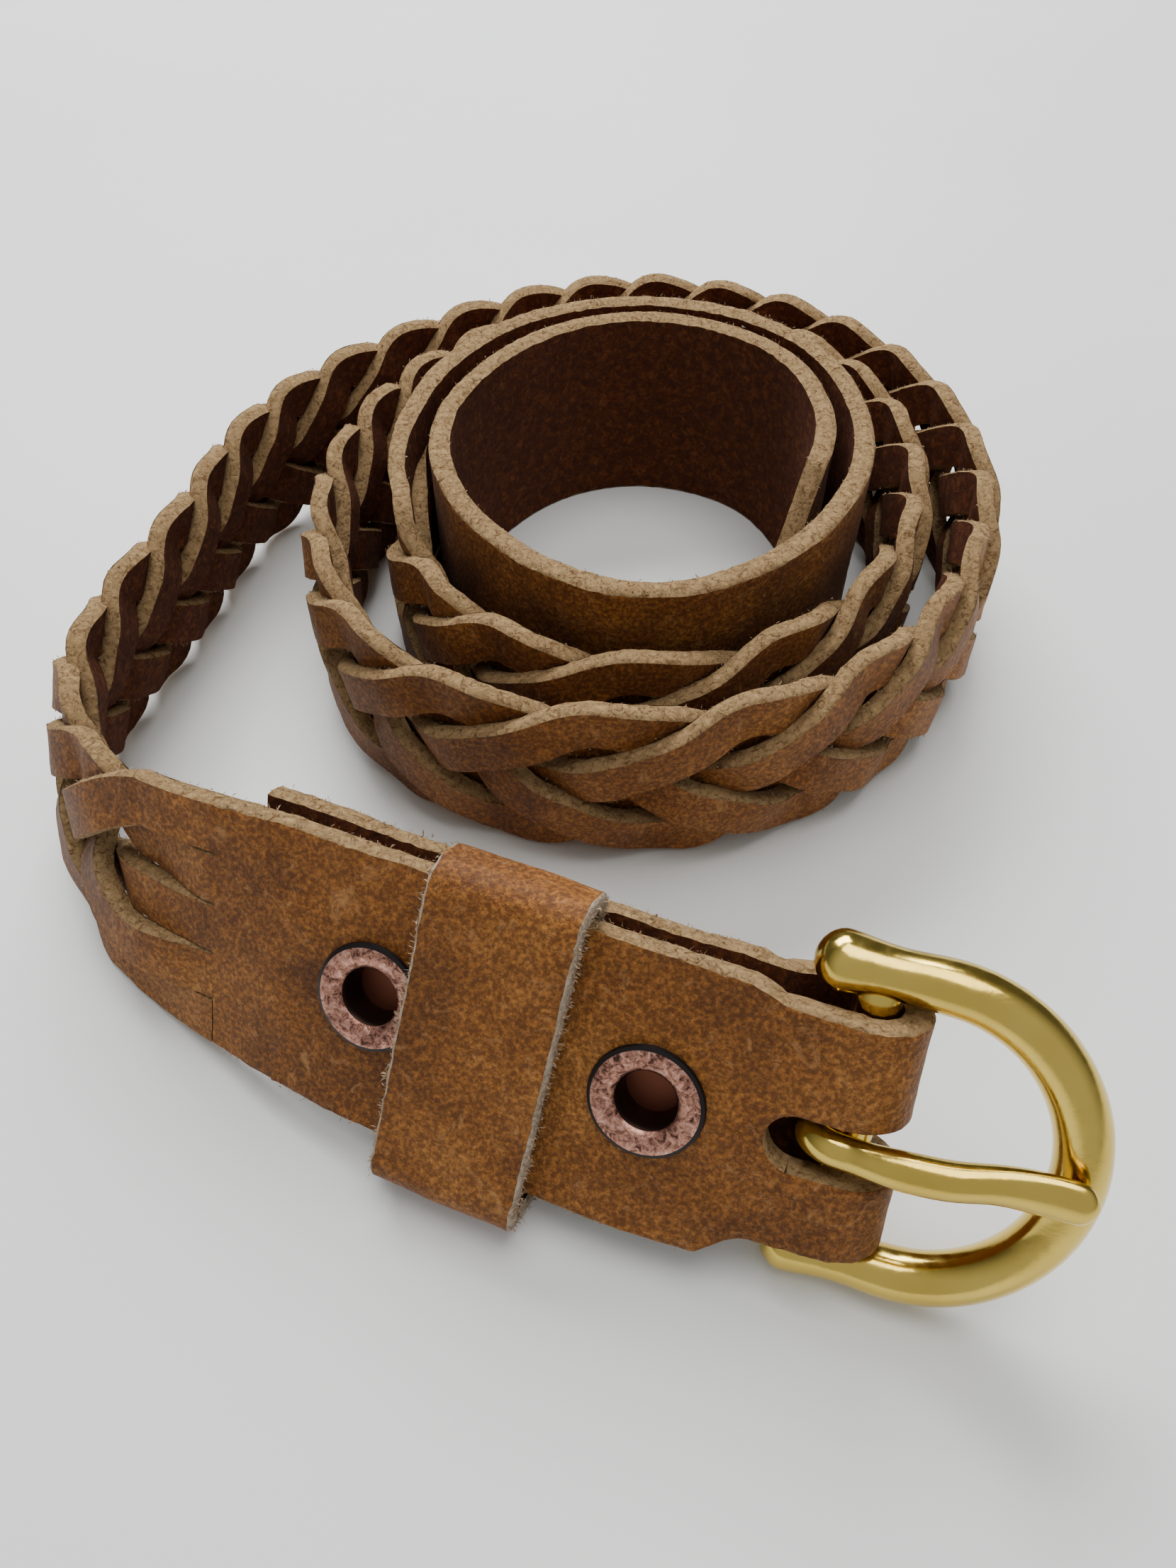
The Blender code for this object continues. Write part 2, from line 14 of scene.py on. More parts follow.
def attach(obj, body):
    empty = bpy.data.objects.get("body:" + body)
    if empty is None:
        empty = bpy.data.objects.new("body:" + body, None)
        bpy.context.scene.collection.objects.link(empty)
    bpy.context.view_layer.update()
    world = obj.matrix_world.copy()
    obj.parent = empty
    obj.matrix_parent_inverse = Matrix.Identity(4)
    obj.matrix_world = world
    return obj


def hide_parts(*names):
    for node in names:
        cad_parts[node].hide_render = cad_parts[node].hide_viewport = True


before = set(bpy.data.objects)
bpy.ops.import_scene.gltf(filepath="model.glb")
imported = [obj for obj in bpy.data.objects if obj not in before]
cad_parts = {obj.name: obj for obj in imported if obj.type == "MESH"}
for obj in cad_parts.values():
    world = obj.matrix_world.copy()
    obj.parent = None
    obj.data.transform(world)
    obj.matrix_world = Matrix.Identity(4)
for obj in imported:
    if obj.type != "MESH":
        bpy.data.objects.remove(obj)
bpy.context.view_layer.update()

MM = 0.001
GRAIN, EDGE, FLESH = 0, 1, 2
TO_ROW = np.array([5.987, -138.300, 0.0])

# The strap and its five strands.
STRAP_WIDTH = 38.1
HALF_WIDTH = STRAP_WIDTH / 2.0
STRAP_THICKNESS = 3.5
STRAND_COUNT = 5
STRAND_WIDTH = 7.5
STRAND_THICKNESS = 2.9
SLIT_WIDTH = STRAP_WIDTH / STRAND_COUNT

# The braid: how far a strand swings across, how high it rides, and where it is pulled long.
BRAID_Z = 16.9
BRAID_SWING = 14.4
BRAID_CYCLE = 70.0
BRAID_HEIGHTS = (-2.35, 0.80, 0.06, 0.34)
BRAID_LEAD = 14.0
BRAID_LOOSENS_OVER = 16.0
BRAID_SPEEDS_UP_OVER = 12.0
BRAID_FIRST_PHASE = 0.05
BRAID_ROWS = 880
TURN_ROUNDING = 0.15
STRETCHED_AT = ((640.0, 45.0), (985.0, 60.0))
STRETCH = 0.42
BRAID_START_DEG = 528.0
BRAID_END_X = -50.0

# The coil: a radius for every station, and how far the outer windings lean inwards.
COIL_CENTRE = (7.5, 171.0)
COIL_FIRST_DEG = -45.0
COIL_STEP_DEG = 45.0
COIL_LEAN = 6.0
COIL_LEANS_AFTER_TURNS = 2.5
COIL_RADII = (
    31.5, 32.8, 37.0, 36.6, 33.0, 32.5, 34.0, 39.2, 38.0, 39.3, 43.0, 42.3, 39.8, 38.8,
    44.0, 48.0, 47.5, 49.5, 52.5, 51.5, 49.5, 52.0, 59.0, 59.0, 59.5, 61.5, 63.0, 62.0,
)

# The free run from the coil to the buckle: x, y, z and lean in degrees.
FREE_RUN = (
    (-35.0, 215.6, 16.9, 6.0),
    (-53.0, 200.8, 16.9, 9.0),
    (-65.0, 182.2, 16.9, 10.0),
    (-71.0, 160.0, 16.9, 10.0),
    (-77.5, 140.0, 16.9, 10.0),
    (-79.5, 120.0, 16.9, 12.0),
    (-73.0, 104.0, 16.9, 17.0),
    (-62.5, 92.3, 17.8, 23.0),
    (-49.0, 84.6, 19.4, 28.0),
    (-39.0, 79.4, 20.8, 33.0),
    (-27.0, 73.9, 21.1, 36.0),
    (-13.0, 68.1, 21.2, 36.5),
    (0.0, 62.9, 21.2, 36.5),
    (9.0, 59.4, 21.3, 36.0),
    (20.0, 55.5, 21.8, 33.5),
    (30.0, 52.0, 22.6, 30.8),
    (40.0, 48.5, 23.6, 29.5),
)
ROUTE_SAMPLES = 4001
COIL_SAMPLES = 2900

# The slanted tip: distance from the end, and how far each edge stands from the middle.
TIP_AT = (0.0, 4.0, 9.0, 16.0)
TIP_LOW = (9.0, 13.0, 16.5, HALF_WIDTH)
TIP_HIGH = (-3.0, 4.0, 11.0, HALF_WIDTH)

# The buckle end: folded round the bar, with a slot for the tongue and two snaps.
SNAP_1_X = 7.6
SNAP_SPACING = 37.5
SNAP_HOLE_RADIUS = 4.2
BAR_X = 29.8
BAR_RADIUS = 3.0
BAR_ASIDE = 1.4
FOLD_RADIUS = 5.0
FOLD_ROWS = 22
FLAP_LENGTH = 84.0
FLAP_STEP = 1.1
FLAP_TAPERS_FROM = 38.0
FLAP_TAPER = 2.6
LAYER_STEP = 6.8
SLOT_HALF_WIDTH = 4.0
SLOT_ROUND_END = -5.2
SLOT_OPEN_END = 14.0
SLOT_DEPTH = 12.0
FIBRES_CLEAR_OF_BAR = 16.0

# The keeper band round both layers, in a section through the strap.
KEEPER_FROM_SNAP = -21.7
KEEPER_THICKNESS = 2.7
KEEPER_FRONT, KEEPER_BACK = 4.65, -3.5
KEEPER_TOP, KEEPER_LOW = 21.1, -22.4
KEEPER_CORNER = 2.6
KEEPER_HALF_LENGTH = 10.0

# The buckle's ring, from the loops on the bar (along, aside, radius) to the arc.
RING_LEG = (
    (-7.9, 20.3, 3.75),
    (-5.5, 20.3, 3.85),
    (-3.0, 20.3, 3.65),
    (-0.5, 20.3, 3.3),
    (2.5, 20.3, 3.1),
)
RING_HALF_SPAN = 20.3
RING_RADIUS = 3.3
RING_ARC_FROM = 7.6
RING_ARC_REACH = 18.4
BAR_HALF_LENGTH = 20.0

# The tongue: a curl round the bar, then along, aside, up, half width and half height.
CURL_RADIUS = 5.3
CURL_SIZE = (2.2, 1.9)
TONGUE_BLADE = (
    (2.5, 0.2, 5.75, 2.2, 1.9),
    (6.0, 0.5, 6.2, 2.4, 2.1),
    (9.5, 0.8, 6.3, 2.45, 2.15),
    (13.0, 1.2, 6.1, 2.4, 2.1),
    (16.5, 1.7, 5.5, 2.4, 1.9),
    (20.0, 2.0, 5.15, 2.6, 1.75),
    (24.0, 2.1, 5.1, 2.75, 1.5),
    (26.8, 2.1, 5.1, 2.4, 1.4),
    (28.0, 2.1, 5.0, 1.9, 1.3),
)

# Unevenness of the leather: noise scale, seed and depth.
SWELL = ((0.11, 1, 0.28), (0.55, 6, 0.10))
FRAY = ((0.9, 9, 0.2), (2.1, 11, 0.12))
FIBRE_HALF_WIDTH = 0.05
FIBRE_ROOT = 0.1


# ---- the strap's route ----


def cubic_through(knots, values, at):
    """Natural cubic spline through the values, evaluated at the given places."""
    knots = np.asarray(knots, float)
    values = np.asarray(values, float)
    gaps = np.diff(knots)
    count = len(knots)
    system = np.eye(count)
    right = np.zeros((count, values.shape[1]))
    slopes = np.diff(values, axis=0) / gaps[:, None]
    for i in range(1, count - 1):
        system[i, i - 1] = gaps[i - 1]
        system[i, i] = 2.0 * (gaps[i - 1] + gaps[i])
        system[i, i + 1] = gaps[i]
        right[i] = 6.0 * (slopes[i] - slopes[i - 1])
    bends = np.linalg.solve(system, right)
    i = np.clip(np.searchsorted(knots, at) - 1, 0, count - 2)
    ahead = (knots[i + 1] - at)[:, None]
    behind = (at - knots[i])[:, None]
    gap = gaps[i][:, None]
    cubic = (bends[i] * ahead**3 + bends[i + 1] * behind**3) / (6.0 * gap)
    line = (values[i] / gap - bends[i] * gap / 6.0) * ahead
    return cubic + line + (values[i + 1] / gap - bends[i + 1] * gap / 6.0) * behind


def unit(rows):
    """Each row scaled to length one."""
    return rows / np.linalg.norm(rows, axis=-1, keepdims=True)


def smooth(x):
    """A soft step from 0 to 1."""
    x = np.clip(x, 0.0, 1.0)
    return x * x * (3.0 - 2.0 * x)


def distances(path):
    """How far along the path each of its points lies."""
    steps = np.linalg.norm(np.diff(path, axis=0), axis=1)
    return np.concatenate([[0.0], np.cumsum(steps)])


def sampled(at, along, rows):
    """Three-column rows read off at the given distances."""
    return np.stack([np.interp(at, along, rows[:, k]) for k in range(3)], axis=1)


class Route:
    """The middle line of the strap, with its forward, width and outward directions."""

    def __init__(self):
        stations = []
        for i, radius in enumerate(COIL_RADII):
            degrees = COIL_FIRST_DEG + COIL_STEP_DEG * i
            turn = math.radians(degrees)
            lean = COIL_LEAN * min(1.0, max(0.0, degrees / 360.0 - COIL_LEANS_AFTER_TURNS))
            solid = degrees < BRAID_START_DEG + COIL_STEP_DEG / 2.0
            x = COIL_CENTRE[0] + radius * math.cos(turn)
            y = COIL_CENTRE[1] + radius * math.sin(turn)
            stations.append((x, y, HALF_WIDTH if solid else BRAID_Z, lean))
        stations.extend(FREE_RUN)
        stations = np.array(stations)
        knots = distances(stations[:, :2])
        fine = np.linspace(0.0, knots[-1], ROUTE_SAMPLES)
        line = cubic_through(knots, stations, fine)
        for k in (2, 3):
            line[:, k] = np.interp(fine, knots, stations[:, k])
        self.along = distances(line[:, :3])
        self.flat = line[:, :2]
        self.points = line[:, :3] + TO_ROW
        self.forward = unit(np.gradient(self.points, self.along, axis=0))
        up = unit(np.array([0.0, 0.0, 1.0]) - self.forward * self.forward[:, 2:3])
        inward = np.cross(up, self.forward)
        lean = np.radians(line[:, 3:4])
        self.width = unit(up * np.cos(lean) + inward * np.sin(lean))
        self.out = np.cross(self.forward, self.width)

    def at(self, s):
        """Points and unit directions at the given distances along the strap."""
        s = np.atleast_1d(np.asarray(s, float))
        tables = (self.points, self.forward, self.width, self.out)
        point, forward, width, out = (sampled(s, self.along, rows) for rows in tables)
        return point, unit(forward), unit(width), unit(out)

    def frame_at(self, s):
        """One point of the route with its three directions."""
        return [rows[0] for rows in self.at(s)]

    def s_at_turn(self, degrees):
        """Distance along the strap where the coil has turned this far."""
        seen = self.flat - np.array(COIL_CENTRE)
        turned = np.unwrap(np.arctan2(seen[:, 1], seen[:, 0]))[:COIL_SAMPLES]
        return float(np.interp(math.radians(degrees), turned, self.along[:COIL_SAMPLES]))

    def s_at_x(self, x):
        """Distance along the strap where the free run passes this x."""
        leftmost = int(np.argmin(self.flat[:, 0]))
        return float(np.interp(x, self.flat[leftmost:, 0], self.along[leftmost:]))


# ---- meshes ----


def make_object(name, points, faces, looks, parts=None, sharp=50.0):
    """A mesh object from points in millimetres, with one material index per face."""
    data = bpy.data.meshes.new(name)
    data.from_pydata((np.asarray(points) * MM).tolist(), [], faces)
    for look in looks:
        data.materials.append(look)
    if parts is not None:
        data.polygons.foreach_set("material_index", np.asarray(parts, np.int32))
    data.polygons.foreach_set("use_smooth", np.ones(len(faces), bool))
    data.update()
    data.set_sharp_from_angle(angle=math.radians(sharp))
    obj = bpy.data.objects.new(name, data)
    bpy.context.scene.collection.objects.link(obj)
    return obj


def tube_faces(rows, around, closed):
    """Quads between neighbouring rings of points; a closed tube joins its last to its first."""
    faces = []
    for i in range(rows if closed else rows - 1):
        n = (i + 1) % rows
        for j in range(around):
            m = (j + 1) % around
            faces.append((i * around + j, i * around + m, n * around + m, n * around + j))
    return faces


def end_faces(rows, around):
    """The two faces that close the ends of an open tube."""
    last = (rows - 1) * around
    return [tuple(range(around))[::-1], tuple(last + j for j in range(around))]


def wander(points, layers):
    """Smooth noise at each point, summed over layers of scale, seed and depth."""
    total = 0.0
    for scale, seed, depth in layers:
        shift = Vector((seed * 13.7, seed * 7.1, seed * 3.3))
        layer = np.array([noise.noise(Vector(p) * scale + shift) for p in points])
        total = total + layer * depth
    return total


def section(columns):
    """Outline of a strap: (across, inset, height, part) going round from the low grain edge."""
    inner = np.linspace(-0.93, 0.93, columns)
    outline = [(-1.0, 0.4, 1.0, GRAIN)]
    outline += [(a, 0.0, 1.0, GRAIN) for a in inner]
    outline += [(1.0, 0.4, 1.0, EDGE), (1.0, 0.02, 0.72, EDGE), (1.0, -0.1, 0.2, EDGE)]
    outline += [(1.0, -0.05, -0.4, EDGE), (1.0, 0.3, -1.0, FLESH)]
    outline += [(a, 0.0, -1.0, FLESH) for a in inner[::-1]]
    outline += [(-1.0, 0.3, -1.0, EDGE), (-1.0, -0.05, -0.4, EDGE)]
    outline += [(-1.0, -0.1, 0.2, EDGE), (-1.0, 0.02, 0.72, EDGE)]
    return np.array(outline)


def ribbon(name, strip, looks, columns, closed=False, caps=True):
    """A leather strap along a strip, with a grain face, a flesh face and cut edges.

    A strip is its middle line, its across and outward directions, the reach of its low and
    high edges, and its thickness.
    """
    centre, across, out, low, high, thick = strip
    outline = section(columns)
    rows = len(centre)
    around = len(outline)
    low, high, thick = (np.broadcast_to(v, rows)[:, None] for v in (low, high, thick))
    a = outline[:, 0][None, :]
    reach = (low + high) / 2.0 + a * (high - low) / 2.0 - np.sign(a) * outline[:, 1][None, :]
    height = outline[:, 2][None, :] * thick / 2.0
    points = centre[:, None, :] + across[:, None, :] * reach[:, :, None]
    points = points + out[:, None, :] * height[:, :, None]
    swell = wander(points.reshape(-1, 3), SWELL).reshape(rows, around)
    fray = wander(points.reshape(-1, 3), FRAY).reshape(rows, around)
    fray = fray * np.sign(a) * (np.abs(a) == 1.0)
    points = points + out[:, None, :] * swell[:, :, None]
    points = points + across[:, None, :] * fray[:, :, None]
    faces = tube_faces(rows, around, closed)
    parts = [int(part) for part in outline[:, 3]] * (len(faces) // around)
    if caps and not closed:
        faces += end_faces(rows, around)
        parts += [EDGE, EDGE]
    return make_object(name, points.reshape(-1, 3), faces, looks, parts)


def fuzz(name, points, outward, length, seed):
    """Loose leather fibres: thin blades standing off a cut edge at the given points."""
    rng = np.random.default_rng(seed)
    count = len(points)
    lean = unit(outward + rng.normal(0.0, 0.75, (count, 3)))
    side = unit(np.cross(lean, rng.normal(0.0, 1.0, (count, 3)))) * FIBRE_HALF_WIDTH
    reach = length * rng.uniform(0.25, 1.0, count)[:, None] ** 1.5
    bend = unit(lean + rng.normal(0.0, 0.6, (count, 3)))
    base = points - lean * FIBRE_ROOT
    middle = base + lean * reach * 0.6
    tip = middle + bend * reach * 0.5
    stack = np.stack([base - side, base + side, middle, tip], axis=1)
    faces = []
    for i in range(count):
        faces.append((4 * i, 4 * i + 1, 4 * i + 2))
        faces.append((4 * i, 4 * i + 2, 4 * i + 3))
    return make_object(name, stack.reshape(-1, 3), faces, [fibre])


def edge_fuzz(name, strip, per_mm, length, seed):
    """Fibres along both cut edges of a strip."""
    centre, across, out, low, high, thick = strip
    rng = np.random.default_rng(seed)
    rows = len(centre)
    count = int(distances(centre)[-1] * per_mm * 2.0)
    at = rng.uniform(0.0, rows - 1.001, count)
    i = at.astype(int)
    part = (at - i)[:, None]
    sign = rng.choice([-1.0, 1.0], count)
    low, high, thick = (np.broadcast_to(v, rows) for v in (low, high, thick))
    reach = np.where(sign > 0.0, high[i], low[i])
    height = rng.uniform(-0.5, 0.5, count) * thick[i]
    spot = centre[i] * (1.0 - part) + centre[i + 1] * part
    spot = spot + across[i] * reach[:, None] + out[i] * height[:, None]
    return fuzz(name, spot, across[i] * sign[:, None], length, seed + 1)


def sweep(name, path, side, wide, tall, looks, around=28):
    """A bar with an elliptical section along a smooth path, with rounded ends."""
    along = distances(path)
    total = along[-1]
    wide = np.broadcast_to(wide, len(path))
    tall = np.broadcast_to(tall, len(path))
    size = min(wide[0], tall[0], total / 3.0)
    cap = size * (1.0 - np.cos(np.linspace(0.03, math.pi / 2.0, 9)))
    run = np.linspace(size, total - size, int(total / 0.45) + 4)[1:-1]
    at = np.concatenate([cap, run, total - cap[::-1]])
    from_end = np.minimum(np.minimum(at, total - at) / size, 1.0)
    shrink = np.sqrt(1.0 - (1.0 - from_end) ** 2)
    path = sampled(at, along, path)
    side = sampled(at, along, side)
    wide = np.interp(at, along, wide) * shrink
    tall = np.interp(at, along, tall) * shrink
    ahead = unit(np.gradient(path, axis=0))
    side = unit(side - ahead * np.sum(side * ahead, axis=1, keepdims=True))
    up = np.cross(ahead, side)
    turn = np.linspace(0.0, 2.0 * math.pi, around, endpoint=False)
    ring = np.cos(turn)[None, :, None] * side[:, None, :] * wide[:, None, None]
    ring = ring + np.sin(turn)[None, :, None] * up[:, None, :] * tall[:, None, None]
    points = (path[:, None, :] + ring).reshape(-1, 3)
    faces = tube_faces(len(path), around, False) + end_faces(len(path), around)
    return make_object(name, points, faces, looks)


def through(knots, count):
    """Points and sizes spread evenly along a cubic through the given rows."""
    knots = np.asarray(knots, float)
    place = distances(knots[:, :3])
    return cubic_through(place, knots, np.linspace(0.0, place[-1], count))


def lathe(name, profile, base, looks, around=72):
    """A turned piece on a route frame, from rows of radius, height and part."""
    point, forward, width, out = base
    turn = np.linspace(0.0, 2.0 * math.pi, around, endpoint=False)
    ring = np.cos(turn)[:, None] * forward + np.sin(turn)[:, None] * width
    points = [point + out * height + ring * radius for radius, height, _ in profile]
    faces = tube_faces(len(profile), around, True)
    parts = [part for _, _, part in profile for _ in range(around)]
    return make_object(name, np.concatenate(points), faces, looks, parts, 35.0)


def cut_away(obj, outline, base, low, high):
    """Cuts an outline (forward, width) out of the object between two heights."""
    point, forward, width, out = base
    points = [
        point + forward * x + width * y + out * z for z in (low, high) for x, y in outline
    ]
    n = len(outline)
    faces = [tuple(range(n))[::-1], tuple(range(n, 2 * n))]
    for j in range(n):
        m = (j + 1) % n
        faces.append((j, m, n + m, n + j))
    cutter = make_object("cutter", points, faces, [], [EDGE] * len(faces))
    step = obj.modifiers.new("cut", "BOOLEAN")
    step.operation = "DIFFERENCE"
    step.solver = "EXACT"
    step.object = cutter
    bpy.context.view_layer.update()
    graph = bpy.context.evaluated_depsgraph_get()
    made = bpy.data.meshes.new_from_object(obj.evaluated_get(graph))
    obj.modifiers.clear()
    obj.data = made
    bpy.data.objects.remove(cutter)


# ---- materials ----


class Look:
    """A material with a Principled shader, and short ways to add nodes to it."""

    def __init__(self, name, roughness, metallic=0.0, specular=0.5):
        self.made = bpy.data.materials.new(name)
        self.made.use_nodes = True
        self.tree = self.made.node_tree
        self.shader = self.tree.nodes["Principled BSDF"]
        self.shader.inputs["Roughness"].default_value = roughness
        self.shader.inputs["Metallic"].default_value = metallic
        self.shader.inputs["Specular IOR Level"].default_value = specular
        self.place = self.tree.nodes.new("ShaderNodeTexCoord").outputs["Object"]

    def link(self, source, target):
        """Joins an output to an input."""
        self.tree.links.new(source, target)

    def give(self, socket, value):
        """Links an output to the socket, or sets it to a number or a colour."""
        if isinstance(value, (int, float)):
            socket.default_value = value
        elif isinstance(value, tuple):
            socket.default_value = (*value, 1.0)
        else:
            self.link(value, socket)

    def noise(self, scale, detail=4.0, roughness=0.6, distortion=0.0):
        """Fractal noise in object coordinates."""
        node = self.tree.nodes.new("ShaderNodeTexNoise")
        node.inputs["Scale"].default_value = scale
        node.inputs["Detail"].default_value = detail
        node.inputs["Roughness"].default_value = roughness
        node.inputs["Distortion"].default_value = distortion
        self.link(self.place, node.inputs["Vector"])
        return node.outputs["Fac"]

    def cells(self, scale):
        """Distance to the nearest cell of a Voronoi texture."""
        node = self.tree.nodes.new("ShaderNodeTexVoronoi")
        node.inputs["Scale"].default_value = scale
        self.link(self.place, node.inputs["Vector"])
        return node.outputs["Distance"]

    def ramp(self, value, low, high, stops):
        """Maps a value between low and high onto evenly spaced colours."""
        node = self.tree.nodes.new("ShaderNodeValToRGB")
        ramp = node.color_ramp
        while len(ramp.elements) < len(stops):
            ramp.elements.new(0.5)
        for i, stop in enumerate(stops):
            ramp.elements[i].position = low + (high - low) * i / (len(stops) - 1)
            ramp.elements[i].color = (*stop, 1.0)
        self.link(value, node.inputs["Fac"])
        return node.outputs["Color"]

    def math(self, how, one, two):
        """One arithmetic step on two values."""
        node = self.tree.nodes.new("ShaderNodeMath")
        node.operation = how
        for socket, value in zip(node.inputs, (one, two)):
            self.give(socket, value)
        return node.outputs["Value"]

    def mix(self, factor, one, two, how="MIX"):
        """Two colours mixed by a factor."""
        node = self.tree.nodes.new("ShaderNodeMix")
        node.data_type = "RGBA"
        node.blend_type = how
        self.give(node.inputs["Factor"], factor)
        colours = [socket for socket in node.inputs if socket.type == "RGBA"]
        for socket, value in zip(colours, (one, two)):
            self.give(socket, value)
        return [socket for socket in node.outputs if socket.type == "RGBA"][0]

    def bump(self, height, depth, strength):
        """Relief of the surface from a height."""
        node = self.tree.nodes.new("ShaderNodeBump")
        node.inputs["Distance"].default_value = depth
        node.inputs["Strength"].default_value = strength
        self.link(height, node.inputs["Height"])
        self.link(node.outputs["Normal"], self.shader.inputs["Normal"])

    def colour(self, value):
        """Uses an output as the base colour."""
        self.link(value, self.shader.inputs["Base Color"])


def grain_look():
    """The tan outer side: cloudy colour, fine pebbling and pale scuffs."""
    look = Look("strap_grain", 0.6, 0.0, 0.22)
    broad = look.noise(48.0, 5.0, 0.62, 0.4)
    colour = look.ramp(
        broad, 0.30, 0.74, ((0.13, 0.043, 0.007), (0.255, 0.093, 0.016), (0.37, 0.155, 0.034))
    )
    fine = look.noise(1500.0, 3.0, 0.7)
    pale = look.ramp(fine, 0.42, 0.72, ((0.50, 0.45, 0.40), (1.0, 1.0, 1.0), (1.6, 1.7, 1.8)))
    colour = look.mix(1.0, colour, pale, "MULTIPLY")
    scuff = look.noise(260.0, 6.0, 0.75, 1.2)
    scuffed = look.ramp(scuff, 0.56, 0.74, ((0.0, 0.0, 0.0), (0.75, 0.75, 0.75)))
    look.colour(look.mix(scuffed, colour, (0.46, 0.235, 0.085)))
    pebble = look.cells(900.0)
    height = look.math("ADD", look.math("MULTIPLY", pebble, 0.5), fine)
    height = look.math("ADD", height, look.math("MULTIPLY", scuff, 0.8))
    look.bump(height, 0.00035, 0.55)
    look.shader.inputs["Sheen Weight"].default_value = 0.04
    return look.made


def edge_look(name, pale, dark):
    """A raw cut edge: pale, fibrous leather."""
    look = Look(name, 0.9, 0.0, 0.15)
    strands = look.noise(950.0, 6.0, 0.75, 1.0)
    palest = tuple(min(1.0, c * 1.3) for c in pale)
    look.colour(look.ramp(strands, 0.34, 0.66, (dark, pale, palest)))
    look.bump(strands, 0.0008, 0.9)
    return look.made


def flesh_look():
    """The dark, napped inner side."""
    look = Look("strap_flesh", 0.95, 0.0, 0.12)
    nap = look.noise(700.0, 7.0, 0.8, 0.8)
    stops = ((0.035, 0.008, 0.001), (0.11, 0.025, 0.004), (0.30, 0.095, 0.022))
    look.colour(look.ramp(nap, 0.32, 0.70, stops))
    look.bump(nap, 0.0012, 0.9)
    look.shader.inputs["Sheen Weight"].default_value = 0.05
    return look.made


def brass_look():
    """Polished brass with faint rubbing."""
    look = Look("polished_brass", 0.16, 1.0)
    tone = look.noise(35.0, 3.0)
    look.colour(look.ramp(tone, 0.3, 0.7, ((0.62, 0.43, 0.085), (0.78, 0.58, 0.14))))
    rub = look.noise(220.0, 5.0, 0.6, 2.0)
    rough = look.ramp(rub, 0.35, 0.75, ((0.12, 0.12, 0.12), (0.27, 0.27, 0.27)))
    look.link(rough, look.shader.inputs["Roughness"])
    look.bump(rub, 0.0001, 0.25)
    return look.made


def copper_look():
    """Copper with dark speckles."""
    look = Look("antiqued_copper", 0.32, 1.0)
    speck = look.noise(900.0, 6.0, 0.8, 0.6)
    stops = ((0.07, 0.032, 0.026), (0.46, 0.215, 0.15), (0.72, 0.42, 0.33))
    look.colour(look.ramp(speck, 0.40, 0.62, stops))
    look.bump(speck, 0.0002, 0.5)
    return look.made


def plain_look(name, colour, roughness, metallic=0.0):
    """One even colour."""
    look = Look(name, roughness, metallic)
    look.shader.inputs["Base Color"].default_value = (*colour, 1.0)
    return look.made


grain = grain_look()
edge = edge_look("strap_cut_edge", (0.38, 0.245, 0.115), (0.12, 0.055, 0.018))
flesh = flesh_look()
brass = brass_look()
copper = copper_look()
black_rim = plain_look("snap_black_rim", (0.018, 0.014, 0.014), 0.35, 0.7)
# Painted shade: the snap's bore walls are near black, standing in for the shade down the deep
# hole.
shaded_bore_look = plain_look("snap_bore_painted_shade", (0.03, 0.014, 0.01), 0.4, 0.8)
hole_bottom = plain_look("snap_bottom", (0.20, 0.065, 0.035), 0.45, 0.9)
fibre = plain_look("loose_fibres", (0.36, 0.25, 0.155), 0.95)
keeper_edge = edge_look("keeper_cut_edge", (0.50, 0.40, 0.30), (0.25, 0.17, 0.105))
leather = [grain, edge, flesh]
keeper_leather = [grain, keeper_edge, flesh]


# ---- the leather ----

route = Route()
braid_from = route.s_at_turn(BRAID_START_DEG)
braid_to = route.s_at_x(BRAID_END_X)
bar_s = route.s_at_x(BAR_X)
snap_1 = route.s_at_x(SNAP_1_X)
snap_2 = snap_1 - SNAP_SPACING


def keep(piece, body, node=None):
    """Lets a piece ride its body, in place of its CAD node if it has one."""
    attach(piece, body)
    if node is not None:
        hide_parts(node)


def build_tip():
    """The solid strap from its slanted tip to the start of the braid."""
    s = np.concatenate([np.linspace(0.0, 16.0, 20), np.linspace(17.2, braid_from, 300)])
    low = -np.interp(s, TIP_AT, TIP_LOW)
    high = np.interp(s, TIP_AT, TIP_HIGH)
    centre, _, width, out = route.at(s)
    strip = (centre, width, out, low, high, STRAP_THICKNESS)
    keep(ribbon("strap_tip", strip, leather, 21), "belt", "tip_strap")
    keep(edge_fuzz("strap_tip_fibres", strip, 7.0, 0.9, 21), "belt")


def plain_wave(u):
    """A sharp triangle wave between -1 and 1."""
    return 1.0 - 4.0 * np.abs((u % 1.0) - 0.5)


def triangle_wave(u):
    """The triangle wave with its turning points rounded off."""
    plain = plain_wave(u)
    short = 1.0 - np.abs(plain)
    turned = 1.0 - TURN_ROUNDING - short**2 / (4.0 * TURN_ROUNDING)
    return np.sign(plain) * np.where(short < 2.0 * TURN_ROUNDING, turned, np.abs(plain))


def braid_phase(s):
    """The braid's progress: still at both ends, slower where the coil has pulled it long."""
    along = np.linspace(braid_from, braid_to, ROUTE_SAMPLES)
    inside = np.minimum(along - braid_from, braid_to - along)
    speed = np.clip((inside - BRAID_LEAD) / BRAID_SPEEDS_UP_OVER, 0.0, 1.0)
    for degrees, reach in STRETCHED_AT:
        middle = route.s_at_turn(degrees)
        speed = speed * (1.0 - STRETCH * np.exp(-(((along - middle) / reach) ** 2)))
    progress = np.cumsum(speed) * (along[1] - along[0])
    cycles = round(progress[-1] / BRAID_CYCLE * 10.0) / 10.0
    return BRAID_FIRST_PHASE + cycles * np.interp(s, along, progress) / progress[-1]


